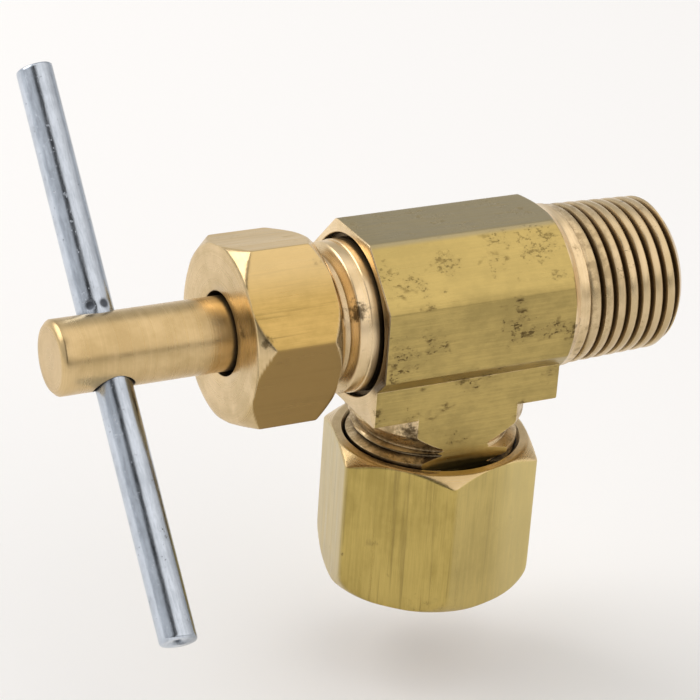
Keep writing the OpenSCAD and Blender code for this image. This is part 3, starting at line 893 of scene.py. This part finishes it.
def nut_brass(name, axis, tones, painted_shading, smudges=()):
    """Drawn flats and turned ends, told apart by the mesh's "turned" value, which is INSIDE in the bore.
    painted_shading is (axis, from, to, share, colour): painted light and shade, the flats turning lighter or
    darker towards that colour between two places in the valve frame. smudges are (place, reach)."""
    n = metal(name)
    skin_colour, skin_roughness, skin_height = drawn_skin(n, axis, *tones, 0.0, bands=0.45)
    # painted light and shade: the flats are painted lighter or darker by side
    for side, start, end, share, painted_colour in painted_shading:
        skin_colour = n.mix(n.ramp(n.coordinate(side), start, end, 0.0, share), skin_colour, painted_colour)
    cut = turned_face(n, axis, *TURNED_TONES)
    kind = n.add("Attribute", attribute_name="turned").outputs["Fac"]
    turned = n.math("MINIMUM", kind, 1.0)
    colour = n.mix(turned, skin_colour, cut[0])
    roughness = n.blend(turned, skin_roughness, cut[1])
    height = n.blend(turned, skin_height, cut[2])
    colour, roughness = worn_and_shaded(n, colour, roughness, BRIGHT, 0.08, 0.5, 0.9)
    for place, reach in smudges:
        colour = n.mix(n.times(n.ragged_spot(place, reach), 0.8), colour, PIT)
    colour = n.mix(n.ramp(kind, 1.1, 1.6), colour, UNLIT)
    return n.finish(colour, roughness, height, bump=0.016)


def steel(name, light, dark, rough, shaded_from=None):
    """Drawn steel rod: faint streaks, blue-grey blotches and small marks, darker where the mesh's "turned"
    value says that it was punched, and painted shade in the corners.
    shaded_from is the place along X beyond which the rod is painted darker, a painted shade."""
    n = metal(name)
    patch = n.noise(n.place, 500, 4.0, 0.6)
    streak = n.noise(n.place, (7000, 900, 900), 4.0, 0.65)
    fine = n.noise(n.place, (15000, 6000, 6000), 3.0, 0.7)
    colour = n.mix(n.ramp(n.weighted((patch, 0.5), (streak, 0.5)), 0.36, 0.62), dark, light)
    # painted shade: the rod is painted darker beyond shaded_from
    if shaded_from is not None:
        colour = n.darken(colour, n.ramp(n.coordinate("X"), shaded_from, shaded_from + 0.5, 0.0, 0.30))
    marks = n.ramp(n.noise(n.place, 2600, 4.0, 0.75), 0.63, 0.71)
    colour = n.mix(n.times(marks, 0.6), colour, STEEL_MARK)
    punched = n.add("Attribute", attribute_name="turned").outputs["Fac"]
    # darker in the corners, partly dirt and partly painted shade, and where punched
    darkening = n.math("MAXIMUM", n.times(n.corners(0.5), 0.85), n.ramp(punched, 0.1, 0.65, 0.0, 0.85))
    colour = n.mix(darkening, colour, STEEL_DIRT_AND_SHADE)
    roughness = n.blend(n.math("MAXIMUM", marks, darkening), n.ramp(streak, 0.3, 0.7, rough, rough + 0.1), 0.5)
    height = n.math("SUBTRACT", n.times(n.plus(streak, fine), 0.3), marks)
    return n.finish(colour, roughness, height, bump=0.01)


def packing_material():
    """Pressed graphited packing: matt, fibrous and dark grey."""
    n = metal("packing")
    fibre = n.noise(n.place, (2500, 9000, 9000), 5.0, 0.7)
    patch = n.noise(n.place, 700, 3.0)
    light, dark = PACKING_TONES
    colour = n.mix(n.ramp(n.times(n.plus(fibre, patch), 0.5), 0.35, 0.65), dark, light)
    return n.finish(colour, n.ramp(fibre, 0.3, 0.7, 0.6, 0.85), fibre, metallic=0.0, bump=0.05)


# ---------------------------------------------------------------- pieces
def build_pieces():
    smudges = [(HOLE_SMUDGE, 0.8), (CORNER_SMUDGE, 0.7)]
    packing_nut_finish = nut_brass("packing_nut_brass", "X", PACKING_NUT_TONES, PACKING_NUT_PAINTED_SHADING, smudges)
    tube_nut_finish = nut_brass("tube_nut_brass", "Z", TUBE_NUT_TONES, TUBE_NUT_PAINTED_SHADING)
    stem_finish = turned_brass("stem_brass", "X", STEM_TONES)
    bar_finish = steel("bar_steel", *BAR_TONES, 0.16, BAR_REACH)
    add_piece("body", body_mesh(), "valve_body", "valve_body", [body_skin(), body_turned()])
    add_piece("packing_nut_hexagon", packing_nut_mesh(), "packing_nut", "packing_nut",
              [packing_nut_finish] * 2)
    add_piece("compression_nut_hexagon", tube_nut_mesh(), "tube_nut", "compression_nut",
              [tube_nut_finish] * 2)
    add_piece("threaded_stem", stem_mesh(), "stem", "stem", [stem_finish] * 2)
    add_piece("cross_bar", handle_bar_mesh(), "stem", "handle_bar", [bar_finish] * 2)

    # the pieces inside keep their CAD shape, with their edges rounded
    inner = turned_brass("inner_brass", "X", TURNED_TONES)
    packing = packing_material()
    finishes = {"packing_washer": inner, "gland_follower": inner,
                "compression_sleeve": turned_brass("sleeve_brass", "Z", TURNED_TONES),
                "needle_tip": steel("needle_steel", *NEEDLE_TONES, 0.12), "packing_ring_inner": packing,
                "packing_ring_middle": packing, "packing_ring_outer": packing}
    for node, material in finishes.items():
        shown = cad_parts[node]
        for place in shown.material_slots:
            place.material = material
        weld = shown.modifiers.new("weld", "WELD")
        weld.merge_threshold = 0.001 * MM
        bevel = shown.modifiers.new("rounded edges", "BEVEL")
        bevel.width = 0.05 * MM
        bevel.segments = 2
        bevel.limit_method = "ANGLE"
        bevel.angle_limit = math.radians(35)


# ---------------------------------------------------------------- floor, light and camera
def build_floor():
    """A pale square floor, just below where the unscrewed compression nut ends."""
    mesh = bpy.data.meshes.new("floor")
    half, level = 1.5, CAD_BOX[0].z - TUBE_NUT_DROP * MM
    corners = [(-half, -half, level), (half, -half, level), (half, half, level), (-half, half, level)]
    mesh.from_pydata(corners, [], [(0, 1, 2, 3)])
    floor = bpy.data.objects.new("floor", mesh)
    bpy.context.scene.collection.objects.link(floor)
    material = bpy.data.materials.new("floor")
    material.use_nodes = True
    shader = material.node_tree.nodes["Principled BSDF"]
    shader.inputs["Base Color"].default_value = rgb(0.93, 0.93, 0.93)
    shader.inputs["Roughness"].default_value = 0.9
    shader.inputs["Specular IOR Level"].default_value = 0.0
    mesh.materials.append(material)


def direction(azimuth, elevation):
    """Unit vector from the object towards a compass angle, 0 along -Y and 90 along +X, in degrees."""
    a, e = math.radians(azimuth), math.radians(elevation)
    return Vector((math.sin(a) * math.cos(e), -math.cos(a) * math.cos(e), math.sin(e)))


def softbox(name, azimuth, elevation, distance, size, radiance, colour):
    """A rectangular light that faces the object, in metres."""
    light = bpy.data.lights.new(name, "AREA")
    light.shape, light.size, light.size_y = "RECTANGLE", size[0], size[1]
    light.energy = radiance * math.pi * size[0] * size[1]
    light.color = colour
    lamp = bpy.data.objects.new(name, light)
    towards = direction(azimuth, elevation)
    lamp.location = ORIGIN * MM + towards * distance
    lamp.rotation_mode = "QUATERNION"
    lamp.rotation_quaternion = towards.to_track_quat("Z", "Y")
    bpy.context.scene.collection.objects.link(lamp)


def build_light():
    """A light tent: a broad bright side front right, grey behind, a dark line low in front, a dark gap front
    left, and one soft box at the rear."""
    world = bpy.data.worlds.new("studio")
    bpy.context.scene.world = world
    n = Nodes(world, "Generated")
    split = n.add("SeparateXYZ", {0: n.place})
    height, depth = split.outputs["Z"], split.outputs["Y"]

    def towards(vector):
        return n.add("VectorMath", {0: n.place, 1: tuple(vector)}, operation="DOT_PRODUCT").outputs["Value"]

    bright_side = n.ramp(towards(direction(43.7, 50)), 0.45, 0.76)
    low_behind = n.times(n.ramp(height, 0.30, 0.02), n.ramp(depth, 0.0, 0.5))
    base, brighter, behind = 0.62, 0.55, 0.35
    level = n.plus(base, n.times(bright_side, brighter))
    level = n.plus(level, n.times(low_behind, behind))
    line_height, line_dark, gap_dark = 0.10, 0.6, 0.95
    off_line = n.math("ABSOLUTE", n.math("SUBTRACT", height, line_height))
    front_line = n.times(n.ramp(off_line, 0.13, 0.04), n.ramp(depth, -0.3, -0.7))
    off_gap = n.math("ABSOLUTE", towards(direction(48, 0)))
    gap = n.times(n.ramp(off_gap, 0.30, 0.12), n.ramp(towards(direction(-42, 0)), 0.1, 0.4))
    dark = n.math("MAXIMUM", n.times(front_line, line_dark), n.times(gap, gap_dark))
    level = n.times(level, n.math("SUBTRACT", 1.0, dark))
    tint = n.mix(bright_side, rgb(1.0, 1.0, 1.0), rgb(1.0, 0.965, 0.93))
    background = n.add("Background", {"Color": tint, "Strength": level})
    out = n.add("OutputWorld")
    n.tree.links.new(background.outputs[0], out.inputs["Surface"])
    softbox("rear", -128, 42, 0.6, (0.5, 0.4), 2.4, (1.0, 0.97, 0.95))


# Camera: its direction from the object and its roll in degrees, the rest in millimetres
CAMERA_AZIMUTH, CAMERA_ELEVATION, CAMERA_ROLL = -28.227, 25.084, 3.996
CAMERA_DISTANCE = 181.8
CAMERA_AIM_LEFT, CAMERA_AIM_DOWN = 5.564, 3.550
SENSOR_WIDTH = 36
FOCAL_LENGTH = 146.985943


def build_camera():
    """Long lens from the front left, above, with the frame's slight tilt."""
    azimuth, roll = math.radians(CAMERA_AZIMUTH), math.radians(CAMERA_ROLL)
    back = direction(CAMERA_AZIMUTH, CAMERA_ELEVATION)
    right = Vector((math.cos(azimuth), math.sin(azimuth), 0))
    up = back.cross(right)
    aim = ORIGIN - CAMERA_AIM_LEFT * right - CAMERA_AIM_DOWN * up
    data = bpy.data.cameras.new("camera")
    data.sensor_width = SENSOR_WIDTH
    data.lens = FOCAL_LENGTH
    data.clip_start, data.clip_end = 0.01, 10
    camera = bpy.data.objects.new("camera", data)
    across = right * math.cos(roll) + up * math.sin(roll)
    upright = up * math.cos(roll) - right * math.sin(roll)
    turn = Matrix((across, upright, back)).transposed().to_4x4()
    camera.matrix_world = Matrix.Translation((aim + back * CAMERA_DISTANCE) * MM) @ turn
    bpy.context.scene.collection.objects.link(camera)
    bpy.context.scene.camera = camera
    bpy.context.scene.view_settings.view_transform = "Standard"


build_pieces()
build_floor()
build_light()
build_camera()
